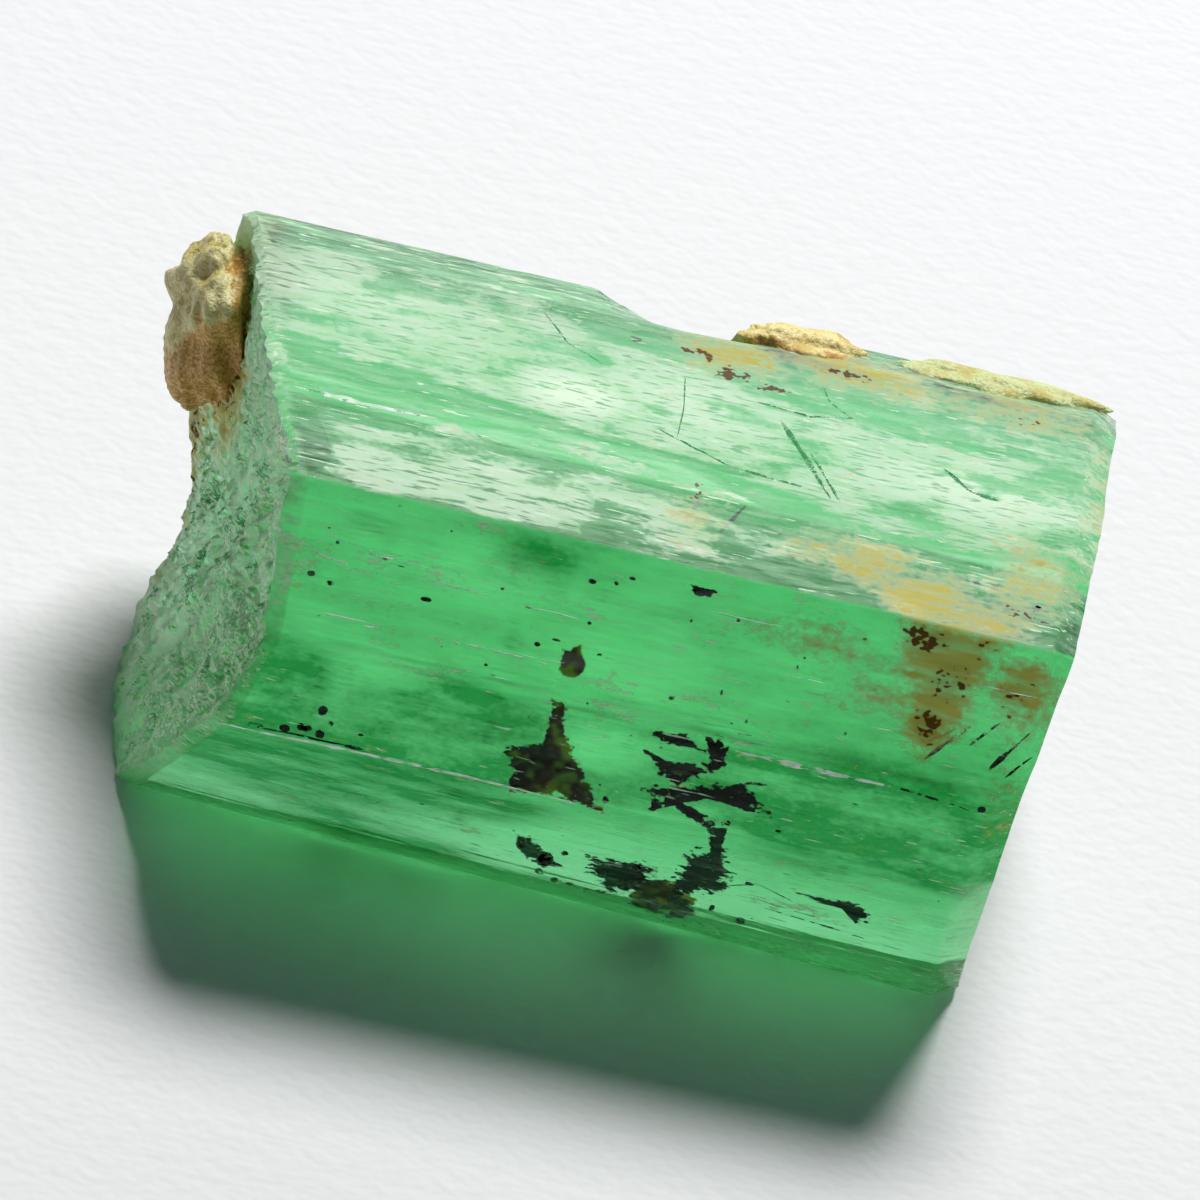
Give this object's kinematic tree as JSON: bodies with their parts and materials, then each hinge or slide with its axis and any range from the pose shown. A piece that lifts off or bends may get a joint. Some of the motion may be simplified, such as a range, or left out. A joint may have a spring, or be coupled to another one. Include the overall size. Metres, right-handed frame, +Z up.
{
  "type": "raw emerald crystal",
  "caption": "Rough green beryl prism lying on one of its own faces, torn at one end and broken clean at the other, with scraps of tan limonite crust, to display or study.",
  "frame": {"origin": "on the surface it rests on, under the middle of its box", "axes": "+X along the prism from the torn end to the broken end, +Y towards the face with the crust, +Z up"},
  "size_m": [0.0104, 0.0062, 0.0055],
  "materials": {
    "emerald": "clear to cloudy green beryl, fine grooves along the prism, rough sugary torn end",
    "limonite_end": "cream and rust brown crust, matt and grainy",
    "limonite_top": "tan crust, waxy and knobbly",
    "limonite_corner": "thin tan green crust",
    "mica": "black to brown mica flakes and specks sealed in the crystal",
    "veil": "pale healed cracks and cloudy veils sealed in the crystal"
  },
  "bodies": {
    "root": {"emerald_crystal": "emerald", "limonite_crust_end": "limonite_end", "limonite_crust_top": "limonite_top", "limonite_crust_corner": "limonite_corner"}
  },
  "joints": []
}
